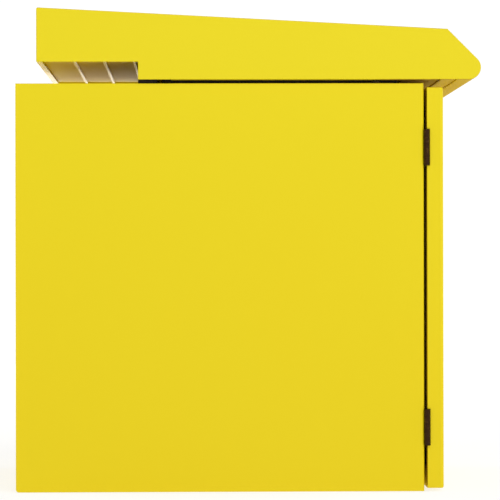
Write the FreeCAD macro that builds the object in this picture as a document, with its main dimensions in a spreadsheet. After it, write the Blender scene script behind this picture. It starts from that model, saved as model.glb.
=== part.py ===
import FreeCAD, Part
import os
import re
import Sketcher

# Steel mailbox: a square cabinet, a door on two butt hinges and a lid that rocks on two studs.
# Cabinet frame used below: x = 0 on the mid-plane, y = 0 on the back, the front towards -Y,
# z = 0 under the floor. Every sub-part's Placement moves it so that the whole is centred in Y.

SIZES = {
    # cabinet
    "cabinet_width": 300.0,
    "cabinet_depth": 340.0,
    "cabinet_height": 340.0,
    "sheet": 1.2,
    "bend_radius": 2.5,
    "corner_radius": 1.5,
    "front_flange": 18.0,
    "flange_relief": 3.0,
    "mouth_rear": 125.0,
    "mouth_front_land": 24.0,
    "mouth_side_land": 16.0,
    "mouth_lip": 6.0,
    "seal_thickness": 1.5,
    "seal_foot_gap": 0.3,
    "wall_hole_radius": 3.5,
    "wall_hole_pitch_across": 200.0,
    "wall_hole_end_offset": 60.0,
    "floor_hole_radius": 3.5,
    "floor_hole_pitch_across": 160.0,
    "floor_hole_pitch_along": 200.0,
    "drain_hole_radius": 2.5,
    "drain_hole_pitch": 220.0,
    # chute behind the letter mouth
    "chute_half_width": 125.0,
    "chute_flange": 15.0,
    "chute_set_back": 5.0,
    "chute_length": 55.0,
    "chute_slope": 40.0,
    "rivet_radius": 1.6,
    "rivet_head_radius": 3.0,
    "rivet_head": 1.0,
    "chute_rivet_pitch": 90.0,
    # lid
    "lid_gap": 3.0,
    "lid_overhang": 3.0,
    "lid_rear_inset": 17.6,
    "nose_reach": 47.6,
    "lid_height": 60.0,
    "lid_slope": 3.0,
    "nose_radius": 10.0,
    "nose_hem": 9.0,
    "tail_cut_length": 84.4,
    "tail_cut_height": 14.8,
    "tail_hem": 5.0,
    "cheek_flange": 14.0,
    "cheek_flange_start": 112.0,
    "cheek_flange_reach": 7.6,
    "tail_rib_first": 30.3,
    "tail_rib_pitch": 25.1,
    "rib_height": 1.5,
    "rib_width": 2.4,
    "pan_lap": 6.0,
    "front_rib_reach": 14.5,
    "front_pan_setback": 16.4,
    # lid pivot
    "pivot_place": 92.4,
    "pivot_lift": 12.0,
    "ear_face": 4.0,
    "ear_sheet": 2.0,
    "ear_half_length": 8.0,
    "ear_foot": 18.0,
    "ear_screw_radius": 2.0,
    "ear_screw_head_radius": 3.8,
    "ear_screw_head": 2.2,
    "ear_nut_flats": 7.0,
    "ear_nut": 3.2,
    "bush_radius": 4.5,
    "bush_bore": 3.05,
    "bush_flange_radius": 6.5,
    "bush_flange": 1.5,
    "bush_tail": 2.0,
    "stud_radius": 3.0,
    "stud_shoulder_radius": 4.5,
    "stud_shoulder": 4.0,
    "stud_tail": 5.0,
    "clip_groove_radius": 2.3,
    "clip_radius": 5.5,
    "clip_sheet": 0.8,
    "clip_gap": 2.0,
    # rubber parts
    "bumper_radius": 4.0,
    "bumper_free_gap": 0.1,
    "bumper_stem_radius": 2.0,
    "bumper_stem": 3.0,
    "bumper_from_front": 40.0,
    "stop_pad_length": 24.0,
    "stop_pad_width": 10.0,
    "stop_pad_height": 1.3,
    "stop_pad_pitch": 200.0,
    "buffer_radius": 5.0,
    "buffer_free_gap": 0.2,
    "buffer_foot": 60.0,
    # door
    "door_gap": 2.8,
    "door_thickness": 13.5,
    "door_bottom_gap": 2.5,
    "door_top_gap": 3.3,
    "door_side_gap": 0.5,
    "door_flange": 18.0,
    "notch_clearance": 0.35,
    "stiffener_half_width": 20.0,
    "stiffener_lip": 12.0,
    "stiffener_depth": 9.0,
    "stiffener_end_gap": 24.0,
    # hinges
    "hinge_length": 30.0,
    "hinge_end_offset": 38.3,
    "hinge_barrel_radius": 2.4,
    "hinge_leaf": 1.0,
    "hinge_leaf_width": 15.0,
    "hinge_pin_radius": 1.3,
    "hinge_bore_radius": 1.35,
    "knuckle_gap": 0.2,
    "hinge_screw_radius": 1.5,
    "hinge_screw_head_radius": 2.7,
    "hinge_screw_head": 0.6,
    "hinge_screw_inset": 9.5,
    "hinge_screw_pitch": 18.0,
    "hinge_nut_flats": 5.5,
    "hinge_nut": 2.4,
    # lock
    "lock_side": 35.0,
    "lock_height": 190.0,
    "lock_head_radius": 11.0,
    "lock_head": 3.0,
    "lock_body_radius": 9.5,
    "lock_body_past_flange": 0.4,
    "lock_bore_radius": 5.56,
    "lock_plug_radius": 5.5,
    "lock_shank_half": 3.0,
    "lock_washer": 0.8,
    "lock_washer_radius": 13.0,
    "lock_nut": 4.0,
    "lock_nut_flats": 24.0,
    "key_slot_half_height": 3.8,
    "key_slot_half_width": 0.9,
    "key_slot_depth": 8.0,
    "cam_clearance": 0.4,
    "cam_sheet": 2.0,
    "cam_half_width": 7.0,
    "cam_reach": 30.0,
    "cam_screw_radius": 1.5,
    "cam_screw_depth": 6.0,
    "cam_screw_head_radius": 4.5,
    "cam_screw_head": 1.8,
    # nameplate
    "plate_half_width": 42.0,
    "plate_half_height": 14.0,
    "plate_thickness": 2.2,
    "plate_drop": 60.0,
    "plate_border": 5.0,
    "plate_side_border": 9.0,
    "plate_rebate": 1.0,
    "card_thickness": 0.3,
    "window_thickness": 1.0,
    "plate_rivet_inset": 4.0,
    "plate_rivet_radius": 1.2,
    "plate_rivet_head_radius": 2.4,
}

doc = FreeCAD.newDocument("mailbox")
size = doc.addObject("Spreadsheet::Sheet", "size")
for row, (alias, amount) in enumerate(SIZES.items(), start=1):
    size.set(f"A{row}", alias)
    size.set(f"B{row}", str(amount))
    size.setAlias(f"B{row}", alias)
doc.recompute()


# ---------------------------------------------------------------- modelling helpers

def full(text):
    """Put the sheet's name before every size word of an expression."""
    def named(match):
        word = match.group(0)
        return f"size.{word}" if word in SIZES else word

    return re.sub(r"[a-z]+(?:_[a-z]+)*", named, text)


def number(text):
    """Present value of an expression."""
    return float(size.evalExpression(full(text)))


def new_body(label):
    """Empty body that sits in the shared frame."""
    body = doc.addObject("PartDesign::Body", label)
    body.Label = label
    body.setExpression("Placement.Base.y", full("(cabinet_depth + nose_reach) / 2"))
    return body


def origin_item(body, role):
    """Plane or axis of a body's own origin."""
    return [item for item in body.Origin.OriginFeatures if item.Role == role][0]


def draw(body, name, plane, start, outlines=(), circles=()):
    """Fully constrained sketch on a plane of the body, lifted by start along the plane's normal."""
    sketch = body.newObject("Sketcher::SketchObject", f"{name}_sketch")
    sketch.AttachmentSupport = [(origin_item(body, f"{plane}_Plane"), "")]
    sketch.MapMode = "FlatFace"
    sketch.setExpression("AttachmentOffset.Base.z", full(start))

    def pin(kind, geometry, point, text):
        index = sketch.addConstraint(Sketcher.Constraint(kind, -1, 1, geometry, point, number(text)))
        sketch.setExpression(f"Constraints[{index}]", full(text))

    for outline in outlines:
        corners = [FreeCAD.Vector(number(across), number(up), 0) for across, up in outline]
        first = sketch.GeometryCount
        count = len(corners)
        for i in range(count):
            sketch.addGeometry(Part.LineSegment(corners[i], corners[(i + 1) % count]), False)
        for i in range(count):
            sketch.addConstraint(Sketcher.Constraint("Coincident", first + i, 2, first + (i + 1) % count, 1))
        for i, (across, up) in enumerate(outline):
            pin("DistanceX", first + i, 1, across)
            pin("DistanceY", first + i, 1, up)
    for across, up, radius in circles:
        centre = FreeCAD.Vector(number(across), number(up), 0)
        circle = sketch.addGeometry(Part.Circle(centre, FreeCAD.Vector(0, 0, 1), number(radius)), False)
        pin("DistanceX", circle, 3, across)
        pin("DistanceY", circle, 3, up)
        index = sketch.addConstraint(Sketcher.Constraint("Radius", circle, number(radius)))
        sketch.setExpression(f"Constraints[{index}]", full(radius))
    return sketch


def pad(body, name, plane, start, length, outlines=(), circles=()):
    """Material added along the plane's normal (XY: +Z, XZ: -Y, YZ: +X)."""
    feature_sketch = draw(body, name, plane, start, outlines, circles)
    feature = body.newObject("PartDesign::Pad", name)
    feature.Profile = feature_sketch
    feature.setExpression("Length", full(length))
    return feature


def cut(body, name, plane, start, length, outlines=(), circles=()):
    """Material removed along the plane's normal, the same way a pad adds it."""
    doc.recompute()
    feature_sketch = draw(body, name, plane, start, outlines, circles)
    feature = body.newObject("PartDesign::Pocket", name)
    feature.Profile = feature_sketch
    feature.Reversed = True
    feature.setExpression("Length", full(length))
    return feature


def round_edges(body, name, radius, axis, places, reach=None):
    """Fillet on the straight edges along one axis that pass through the given places."""
    doc.recompute()
    base = body.Tip
    along = "xyz".index(axis)
    wanted = [(number(first), number(second)) for first, second in places]
    edges = []
    for index, edge in enumerate(base.Shape.Edges, start=1):
        ends = [tuple(vertex.Point) for vertex in edge.Vertexes]
        if len(ends) != 2 or abs(ends[0][along] - ends[1][along]) < 0.01:
            continue
        sides = [[value for i, value in enumerate(end) if i != along] for end in ends]
        middle = (ends[0][along] + ends[1][along]) / 2
        if reach is not None and not number(reach[0]) < middle < number(reach[1]):
            continue
        if any(max(abs(s[0] - w[0]) + abs(s[1] - w[1]) for s in sides) < 0.01 for w in wanted):
            edges.append(f"Edge{index}")
    feature = body.newObject("PartDesign::Fillet", name)
    feature.Base = (base, edges)
    feature.setExpression("Radius", full(radius))
    return feature


def box(first, second, low, high):
    """Rectangle between two positions across and two up."""
    return [(first, low), (second, low), (second, high), (first, high)]


def hexagon(across, up, flats):
    """Hexagon with two flats facing along the sketch's up direction."""
    corner = f"{flats} / sqrt(3)"
    half = f"{flats} / sqrt(3) / 2"
    flat = f"{flats} / 2"
    return [
        (f"{across} + {corner}", up),
        (f"{across} + {half}", f"{up} + {flat}"),
        (f"{across} - {half}", f"{up} + {flat}"),
        (f"{across} - {corner}", up),
        (f"{across} - {half}", f"{up} - {flat}"),
        (f"{across} + {half}", f"{up} - {flat}"),
    ]


HALF = "cabinet_width / 2"
INNER = "(cabinet_width / 2 - sheet)"
SIDES = {"left": "-1", "right": "1"}

# ---------------------------------------------------------------- cabinet sheet metal

# Floor and back are one folded sheet between the side panels; a flange turns up at the front.
wrap = new_body("cabinet_wrap")
pad(wrap, "floor_and_back", "YZ", f"-{INNER}", f"2 * {INNER}", outlines=[[
    ("0", "0"),
    ("0", "cabinet_height"),
    ("-sheet", "cabinet_height"),
    ("-sheet", "sheet"),
    ("-(cabinet_depth - flange_relief)", "sheet"),
    ("-(cabinet_depth - flange_relief)", "0"),
]])
FRAME = f"({HALF} - front_flange)"
pad(wrap, "front_flange", "YZ", f"-{FRAME}", f"2 * {FRAME}", outlines=[[
    ("-(cabinet_depth - flange_relief)", "0"),
    ("-(cabinet_depth - flange_relief)", "sheet"),
    ("-(cabinet_depth - sheet)", "sheet"),
    ("-(cabinet_depth - sheet)", "front_flange"),
    ("-cabinet_depth", "front_flange"),
    ("-cabinet_depth", "0"),
]])
round_edges(wrap, "outer_bends", "bend_radius", "x", [("0", "0"), ("-cabinet_depth", "0")])
round_edges(wrap, "inner_bends", "bend_radius - sheet", "x",
            [("-sheet", "sheet"), ("-(cabinet_depth - sheet)", "sheet")])
cut(wrap, "wall_holes", "XZ", "-1", "sheet + 2", circles=[
    (f"{across} * wall_hole_pitch_across / 2", place, "wall_hole_radius")
    for across in (-1, 1) for place in ("wall_hole_end_offset", "cabinet_height - wall_hole_end_offset")
])
cut(wrap, "floor_holes", "XY", "-1", "sheet + 2", circles=[
    (f"{across} * floor_hole_pitch_across / 2",
     f"-cabinet_depth / 2 + {along} * floor_hole_pitch_along / 2", "floor_hole_radius")
    for across in (-1, 1) for along in (-1, 1)
] + [
    (f"{across} * drain_hole_pitch / 2", "-cabinet_depth / 2", "drain_hole_radius") for across in (-1, 1)
])

# Side panels: one plate each, the front edge folded inwards, the lower rear corner rounded.
for side, sign in SIDES.items():
    panel = new_body(f"{side}_side")
    outer = f"{sign} * {HALF}"
    inner = f"{sign} * {INNER}"
    flange = f"{sign} * {FRAME}"
    pad(panel, "plate", "XY", "0", "cabinet_height", outlines=[[
        (outer, "0"),
        (inner, "0"),
        (inner, "-(cabinet_depth - sheet)"),
        (flange, "-(cabinet_depth - sheet)"),
        (flange, "-cabinet_depth"),
        (outer, "-cabinet_depth"),
    ]])
    round_edges(panel, "outer_bend", "bend_radius", "z", [(outer, "-cabinet_depth")])
    round_edges(panel, "inner_bend", "bend_radius - sheet", "z", [(inner, "-(cabinet_depth - sheet)")])
    round_edges(panel, "rear_corner", "bend_radius", "x", [("0", "0")])

# Top panel: letter mouth with a raised rain lip, and a flange turned down above the door opening.
UNDER_TOP = "(cabinet_height - sheet)"
MOUTH_SIDE = f"({HALF} - mouth_side_land)"
MOUTH_FRONT = "(cabinet_depth - mouth_front_land)"
top = new_body("top_panel")
pad(top, "plate", "XY", UNDER_TOP, "sheet", outlines=[
    box(f"-{INNER}", INNER, "-(cabinet_depth - flange_relief)", "-sheet"),
    box(f"-{MOUTH_SIDE}", MOUTH_SIDE, f"-{MOUTH_FRONT}", "-mouth_rear"),
])
pad(top, "front_flange", "YZ", f"-{FRAME}", f"2 * {FRAME}", outlines=[[
    ("-(cabinet_depth - flange_relief)", "cabinet_height"),
    ("-(cabinet_depth - flange_relief)", UNDER_TOP),
    ("-(cabinet_depth - sheet)", UNDER_TOP),
    ("-(cabinet_depth - sheet)", "cabinet_height - front_flange"),
    ("-cabinet_depth", "cabinet_height - front_flange"),
    ("-cabinet_depth", "cabinet_height"),
]])
round_edges(top, "outer_bend", "corner_radius", "x", [("-cabinet_depth", "cabinet_height")])
pad(top, "rain_lip", "XY", UNDER_TOP, "sheet + mouth_lip", outlines=[
    box(f"-({MOUTH_SIDE} + sheet)", f"{MOUTH_SIDE} + sheet",
        f"-({MOUTH_FRONT} + sheet)", "-(mouth_rear - sheet)"),
    box(f"-{MOUTH_SIDE}", MOUTH_SIDE, f"-{MOUTH_FRONT}", "-mouth_rear"),
])

# Rubber edging of U section pushed down over the rain lip.
SEAL_FOOT = "(cabinet_height + seal_foot_gap)"
seal = new_body("mouth_seal")
pad(seal, "edging", "XY", SEAL_FOOT, "mouth_lip + seal_thickness - seal_foot_gap", outlines=[
    box(f"-({MOUTH_SIDE} + sheet + seal_thickness)", f"{MOUTH_SIDE} + sheet + seal_thickness",
        f"-({MOUTH_FRONT} + sheet + seal_thickness)", "-(mouth_rear - sheet - seal_thickness)"),
    box(f"-({MOUTH_SIDE} - seal_thickness)", f"{MOUTH_SIDE} - seal_thickness",
        f"-({MOUTH_FRONT} - seal_thickness)", "-(mouth_rear + seal_thickness)"),
])
cut(seal, "groove", "XY", f"{SEAL_FOOT} - 1", "mouth_lip - seal_foot_gap + 1", outlines=[
    box(f"-({MOUTH_SIDE} + sheet)", f"{MOUTH_SIDE} + sheet",
        f"-({MOUTH_FRONT} + sheet)", "-(mouth_rear - sheet)"),
    box(f"-{MOUTH_SIDE}", MOUTH_SIDE, f"-{MOUTH_FRONT}", "-mouth_rear"),
])

# Chute: a sheet under the front land that turns down and back, so that mail cannot be drawn out.
CHUTE_FRONT = "(cabinet_depth - chute_set_back)"
CHUTE_KNEE = "(cabinet_depth - chute_set_back - chute_flange)"
FOOT_Y = f"(-{CHUTE_KNEE} + chute_length * cos(chute_slope))"
FOOT_Z = f"({UNDER_TOP} - chute_length * sin(chute_slope))"
chute = new_body("mail_chute")
pad(chute, "sheet_metal", "YZ", "-chute_half_width", "2 * chute_half_width", outlines=[[
    (f"-{CHUTE_FRONT}", UNDER_TOP),
    (f"-{CHUTE_KNEE}", UNDER_TOP),
    (FOOT_Y, FOOT_Z),
    (f"{FOOT_Y} - sheet * sin(chute_slope)", f"{FOOT_Z} - sheet * cos(chute_slope)"),
    (f"-{CHUTE_KNEE} - sheet * tan(chute_slope / 2)", f"{UNDER_TOP} - sheet"),
    (f"-{CHUTE_FRONT}", f"{UNDER_TOP} - sheet"),
]])
RIVET_Y = f"(-{CHUTE_FRONT} + chute_flange / 2)"
chute_rivet_spots = [(f"{i} * chute_rivet_pitch", RIVET_Y) for i in (-1, 0, 1)]
cut(chute, "rivet_holes", "XY", f"{UNDER_TOP} - 2 * sheet", "3 * sheet", circles=[
    (across, along, "rivet_radius") for across, along in chute_rivet_spots
])
cut(top, "rivet_holes", "XY", f"{UNDER_TOP} - sheet", "3 * sheet", circles=[
    (across, along, "rivet_radius") for across, along in chute_rivet_spots
])
rivets = new_body("chute_rivets")
for name, start, length, radius in (
    ("shanks", f"{UNDER_TOP} - sheet", "2 * sheet", "rivet_radius"),
    ("upper_heads", "cabinet_height", "rivet_head", "rivet_head_radius"),
    ("lower_heads", f"{UNDER_TOP} - sheet - rivet_head", "rivet_head", "rivet_head_radius"),
):
    pad(rivets, name, "XY", start, length, circles=[
        (across, along, radius) for across, along in chute_rivet_spots
    ])

# ---------------------------------------------------------------- lid pivots on the cabinet

# Each ear is a bracket screwed to the top behind the mouth; a nylon bush is pressed through it.
PIVOT_Y = "(-(lid_rear_inset + pivot_place))"
PIVOT_Z = "(cabinet_height + lid_gap + pivot_lift)"
EAR_OUT = f"({HALF} - ear_face)"
EAR_IN = f"({HALF} - ear_face - ear_sheet)"
ear_screw_spots = [
    (f"{sign} * ({EAR_OUT} - ear_foot * 0.6)", f"{PIVOT_Y} + {along} * ear_half_length / 2")
    for sign in (-1, 1) for along in (-1, 1)
]
for side, sign in SIDES.items():
    ear = new_body(f"lid_ear_{side}")
    low = f"-{EAR_OUT}" if sign == "-1" else EAR_IN
    pad(ear, "upright", "YZ", low, "ear_sheet", outlines=[
        box(f"{PIVOT_Y} - ear_half_length", f"{PIVOT_Y} + ear_half_length",
            "cabinet_height", f"{PIVOT_Z} + ear_half_length - 1"),
    ])
    pad(ear, "foot", "XY", "cabinet_height", "ear_sheet", outlines=[
        box(f"{sign} * ({EAR_OUT} - ear_foot)", f"{sign} * {EAR_OUT}",
            f"{PIVOT_Y} - ear_half_length", f"{PIVOT_Y} + ear_half_length"),
    ])
    round_edges(ear, "upper_corners", "ear_half_length - 1", "x", [
        (f"{PIVOT_Y} - ear_half_length", f"{PIVOT_Z} + ear_half_length - 1"),
        (f"{PIVOT_Y} + ear_half_length", f"{PIVOT_Z} + ear_half_length - 1"),
    ])
    cut(ear, "bush_hole", "YZ", f"{low} - 1", "ear_sheet + 2", circles=[(PIVOT_Y, PIVOT_Z, "bush_radius")])
    cut(ear, "screw_holes", "XY", "cabinet_height - 1", "ear_sheet + 2", circles=[
        (across, along, "ear_screw_radius")
        for across, along in ear_screw_spots if across.startswith(sign + " ")
    ])
cut(top, "ear_screw_holes", "XY", f"{UNDER_TOP} - 1", "sheet + 2", circles=[
    (across, along, "ear_screw_radius") for across, along in ear_screw_spots
])

screws = new_body("ear_screws")
pad(screws, "shanks", "XY", f"{UNDER_TOP} - ear_nut - 1", "ear_sheet + sheet + ear_nut + 1", circles=[
    (across, along, "ear_screw_radius") for across, along in ear_screw_spots
])
pad(screws, "heads", "XY", "cabinet_height + ear_sheet", "ear_screw_head", circles=[
    (across, along, "ear_screw_head_radius") for across, along in ear_screw_spots
])
cut(screws, "hex_sockets", "XY", "cabinet_height + ear_sheet + ear_screw_head * 0.4", "ear_screw_head",
    outlines=[hexagon(across, along, "2.5") for across, along in ear_screw_spots])
nuts = new_body("ear_nuts")
pad(nuts, "hexagons", "XY", f"{UNDER_TOP} - ear_nut", "ear_nut",
    outlines=[hexagon(across, along, "ear_nut_flats") for across, along in ear_screw_spots],
    circles=[(across, along, "ear_screw_radius") for across, along in ear_screw_spots])

bushes = new_body("pivot_bushes")
for side, sign in SIDES.items():
    barrel_low = f"-{EAR_OUT}" if sign == "-1" else f"({EAR_IN} - bush_tail)"
    flange_low = f"-({EAR_OUT} + bush_flange)" if sign == "-1" else EAR_OUT
    pad(bushes, f"{side}_barrel", "YZ", barrel_low, "ear_sheet + bush_tail",
        circles=[(PIVOT_Y, PIVOT_Z, "bush_radius"), (PIVOT_Y, PIVOT_Z, "bush_bore")])
    pad(bushes, f"{side}_flange", "YZ", flange_low, "bush_flange",
        circles=[(PIVOT_Y, PIVOT_Z, "bush_flange_radius"), (PIVOT_Y, PIVOT_Z, "bush_bore")])

# ---------------------------------------------------------------- rubber parts on the cabinet

# Buttons under the cheeks, pads under the tail and discs behind the door soften every stop.
bumper_spots = [
    (f"{sign} * ({HALF} - mouth_side_land / 2 + sheet / 2)", "-(cabinet_depth - bumper_from_front)")
    for sign in (-1, 1)
]
cut(top, "bumper_holes", "XY", f"{UNDER_TOP} - 1", "sheet + 2", circles=[
    (across, along, "bumper_stem_radius") for across, along in bumper_spots
])
bumpers = new_body("lid_bumpers")
for name, start, length, radius in (
    ("buttons", "cabinet_height", "lid_gap - bumper_free_gap", "bumper_radius"),
    ("stems", UNDER_TOP, "sheet", "bumper_stem_radius"),
    ("bulbs", f"{UNDER_TOP} - bumper_stem", "bumper_stem", "bumper_stem_radius * 1.4"),
):
    pad(bumpers, name, "XY", start, length,
        circles=[(across, along, radius) for across, along in bumper_spots])

stop_pads = new_body("lid_stop_pads")
pad(stop_pads, "pads", "XY", "cabinet_height", "stop_pad_height", outlines=[
    box(f"{sign} * stop_pad_pitch / 2 - stop_pad_length / 2",
        f"{sign} * stop_pad_pitch / 2 + stop_pad_length / 2",
        "-(lid_rear_inset + stop_pad_width / 2 + 2)",
        "-(lid_rear_inset - stop_pad_width / 2 + 2)")
    for sign in (-1, 1)
])

buffers = new_body("door_buffers")
pad(buffers, "discs", "XZ", "cabinet_depth", "door_gap - buffer_free_gap", circles=[
    (f"{HALF} - front_flange / 2", place, "buffer_radius")
    for place in ("buffer_foot", "cabinet_height - buffer_foot")
])

# ---------------------------------------------------------------- hinges

# Two five-knuckle butt hinges on the left edge: knuckles 1, 3, 5 and the pin stay with the
# cabinet, knuckles 2 and 4 turn with the door.
AXIS_X = f"(-{HALF})"
AXIS_Y = "(-(cabinet_depth + hinge_barrel_radius))"
HINGE_FOOT = {
    "lower": "hinge_end_offset",
    "upper": "(cabinet_height - hinge_end_offset - hinge_length)",
}
KNUCKLE = "(hinge_length / 5)"
LEAF_END = f"(-{HALF} + hinge_leaf_width)"
SCREW_X = f"(-{HALF} + hinge_screw_inset)"
hinge_screw_spots = [
    (SCREW_X, f"{foot} + hinge_length / 2 + {up} * hinge_screw_pitch / 2")
    for foot in HINGE_FOOT.values() for up in (-1, 1)
]
leaf_layers = {
    "cabinet": ("cabinet_depth", (0, 2, 4), "hinge_pin_radius"),
    "door": ("(cabinet_depth + door_gap - hinge_leaf)", (1, 3), "hinge_bore_radius"),
}
for owner, (layer, knuckles, bore) in leaf_layers.items():
    for level, foot in HINGE_FOOT.items():
        leaf = new_body(f"hinge_{owner}_leaf_{level}")
        pad(leaf, "plate", "XZ", layer, "hinge_leaf", outlines=[
            box(f"{AXIS_X} + hinge_barrel_radius + notch_clearance", LEAF_END,
                foot, f"{foot} + hinge_length"),
        ])
        for index in knuckles:
            low = f"({foot} + {index} * {KNUCKLE} + knuckle_gap / 2)"
            length = f"({KNUCKLE} - knuckle_gap)"
            pad(leaf, f"tongue_{index}", "XZ", layer, "hinge_leaf", outlines=[
                box(AXIS_X, f"{AXIS_X} + hinge_barrel_radius + notch_clearance + 1",
                    low, f"{low} + {length}"),
            ])
            pad(leaf, f"knuckle_{index}", "XY", low, length,
                circles=[(AXIS_X, AXIS_Y, "hinge_barrel_radius")])
            cut(leaf, f"bore_{index}", "XY", f"{low} - 0.05", f"{length} + 0.1",
                circles=[(AXIS_X, AXIS_Y, bore)])
        spots = [spot for spot in hinge_screw_spots if spot[1].startswith(foot)]
        cut(leaf, "screw_holes", "XZ", f"{layer} - 1", "hinge_leaf + 2",
            circles=[(across, up, "hinge_screw_radius") for across, up in spots])
        head_seat = f"{layer} + hinge_leaf - hinge_screw_head" if owner == "cabinet" else f"{layer} - 1"
        head_depth = "hinge_screw_head + 1"
        cut(leaf, "screw_seats", "XZ", head_seat, head_depth,
            circles=[(across, up, "hinge_screw_head_radius") for across, up in spots])

for level, foot in HINGE_FOOT.items():
    pin = new_body(f"hinge_pin_{level}")
    pad(pin, "rod", "XY", foot, "hinge_length", circles=[(AXIS_X, AXIS_Y, "hinge_pin_radius")])

# Small screws sit flush in the leaves, their nuts behind the flanges.
cabinet_screws = new_body("hinge_cabinet_screws")
pad(cabinet_screws, "shanks", "XZ", "cabinet_depth - sheet - hinge_nut - 0.5",
    "sheet + hinge_nut + hinge_leaf",
    circles=[(across, up, "hinge_screw_radius") for across, up in hinge_screw_spots])
pad(cabinet_screws, "heads", "XZ", "cabinet_depth + hinge_leaf - hinge_screw_head", "hinge_screw_head - 0.05",
    circles=[(across, up, "hinge_screw_head_radius") for across, up in hinge_screw_spots])
cabinet_nuts = new_body("hinge_cabinet_nuts")
pad(cabinet_nuts, "hexagons", "XZ", "cabinet_depth - sheet - hinge_nut", "hinge_nut",
    outlines=[hexagon(across, up, "hinge_nut_flats") for across, up in hinge_screw_spots],
    circles=[(across, up, "hinge_screw_radius") for across, up in hinge_screw_spots])
cut(doc.getObject("left_side"), "hinge_screw_holes", "XZ", "cabinet_depth - sheet - 1", "sheet + 2",
    circles=[(across, up, "hinge_screw_radius") for across, up in hinge_screw_spots])

DOOR_REAR = "(cabinet_depth + door_gap)"
door_screws = new_body("hinge_door_screws")
pad(door_screws, "shanks", "XZ", f"{DOOR_REAR} - hinge_leaf + hinge_screw_head",
    "sheet + hinge_nut + hinge_leaf",
    circles=[(across, up, "hinge_screw_radius") for across, up in hinge_screw_spots])
pad(door_screws, "heads", "XZ", f"{DOOR_REAR} - hinge_leaf + 0.05", "hinge_screw_head - 0.05",
    circles=[(across, up, "hinge_screw_head_radius") for across, up in hinge_screw_spots])
door_nuts = new_body("hinge_door_nuts")
pad(door_nuts, "hexagons", "XZ", f"{DOOR_REAR} + sheet", "hinge_nut",
    outlines=[hexagon(across, up, "hinge_nut_flats") for across, up in hinge_screw_spots],
    circles=[(across, up, "hinge_screw_radius") for across, up in hinge_screw_spots])

# ---------------------------------------------------------------- door

# A pan folded from one sheet: front plate, four walls and a flange all round the open rear.
DOOR_FRONT = "(cabinet_depth + door_gap + door_thickness)"
DOOR_SIDE = f"({HALF} - door_side_gap)"
DOOR_LOW = "door_bottom_gap"
DOOR_HIGH = "(cabinet_height - door_top_gap)"
LOCK_X = f"({HALF} - lock_side)"
door = new_body("door_panel")
pad(door, "block", "XZ", DOOR_REAR, "door_thickness",
    outlines=[box(f"-{DOOR_SIDE}", DOOR_SIDE, DOOR_LOW, DOOR_HIGH)])
round_edges(door, "front_upright_bends", "bend_radius", "z",
            [(f"-{DOOR_SIDE}", f"-{DOOR_FRONT}"), (DOOR_SIDE, f"-{DOOR_FRONT}")])
round_edges(door, "front_level_bends", "corner_radius", "x",
            [(f"-{DOOR_FRONT}", DOOR_LOW), (f"-{DOOR_FRONT}", DOOR_HIGH)])
cut(door, "hollow", "XZ", f"{DOOR_REAR} + sheet", "door_thickness - 2 * sheet", outlines=[
    box(f"-({DOOR_SIDE} - sheet)", f"{DOOR_SIDE} - sheet", f"{DOOR_LOW} + sheet", f"{DOOR_HIGH} - sheet"),
])
cut(door, "rear_opening", "XZ", f"{DOOR_REAR} - 1", "sheet + 2", outlines=[
    box(f"-({DOOR_SIDE} - door_flange)", f"{DOOR_SIDE} - door_flange",
        f"{DOOR_LOW} + door_flange", f"{DOOR_HIGH} - door_flange"),
])
NOTCH_FRONT = "(2 * hinge_barrel_radius - door_gap + notch_clearance)"
for level, foot in HINGE_FOOT.items():
    cut(door, f"{level}_notch", "XZ", f"{DOOR_REAR} - 1", f"{NOTCH_FRONT} + 1", outlines=[
        box(f"-({DOOR_SIDE} + 1)", f"{AXIS_X} + hinge_barrel_radius + notch_clearance",
            f"{foot} - notch_clearance", f"{foot} + hinge_length + notch_clearance"),
    ])
cut(door, "hinge_screw_holes", "XZ", f"{DOOR_REAR} - 1", "sheet + 2",
    circles=[(across, up, "hinge_screw_radius") for across, up in hinge_screw_spots])
cut(door, "lock_hole", "XZ", f"{DOOR_FRONT} - sheet - 1", "sheet + 2",
    circles=[(LOCK_X, "lock_height", "lock_body_radius")])

INSIDE_FRONT = f"({DOOR_FRONT} - sheet)"
STIFF_LOW = f"({DOOR_LOW} + stiffener_end_gap)"
STIFF_LENGTH = f"({DOOR_HIGH} - {DOOR_LOW} - 2 * stiffener_end_gap)"
stiffener = new_body("door_stiffener")
pad(stiffener, "hat", "XY", STIFF_LOW, STIFF_LENGTH, outlines=[[
    ("-stiffener_half_width", f"-{INSIDE_FRONT}"),
    ("-stiffener_half_width", f"-{INSIDE_FRONT} + sheet"),
    ("-(stiffener_half_width - stiffener_lip)", f"-{INSIDE_FRONT} + sheet"),
    ("-(stiffener_half_width - stiffener_lip)", f"-{INSIDE_FRONT} + stiffener_depth"),
    ("stiffener_half_width - stiffener_lip", f"-{INSIDE_FRONT} + stiffener_depth"),
    ("stiffener_half_width - stiffener_lip", f"-{INSIDE_FRONT} + sheet"),
    ("stiffener_half_width", f"-{INSIDE_FRONT} + sheet"),
    ("stiffener_half_width", f"-{INSIDE_FRONT}"),
    ("stiffener_half_width - stiffener_lip - sheet", f"-{INSIDE_FRONT}"),
    ("stiffener_half_width - stiffener_lip - sheet", f"-{INSIDE_FRONT} + stiffener_depth - sheet"),
    ("-(stiffener_half_width - stiffener_lip - sheet)", f"-{INSIDE_FRONT} + stiffener_depth - sheet"),
    ("-(stiffener_half_width - stiffener_lip - sheet)", f"-{INSIDE_FRONT}"),
]])

# ---------------------------------------------------------------- lock

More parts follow.
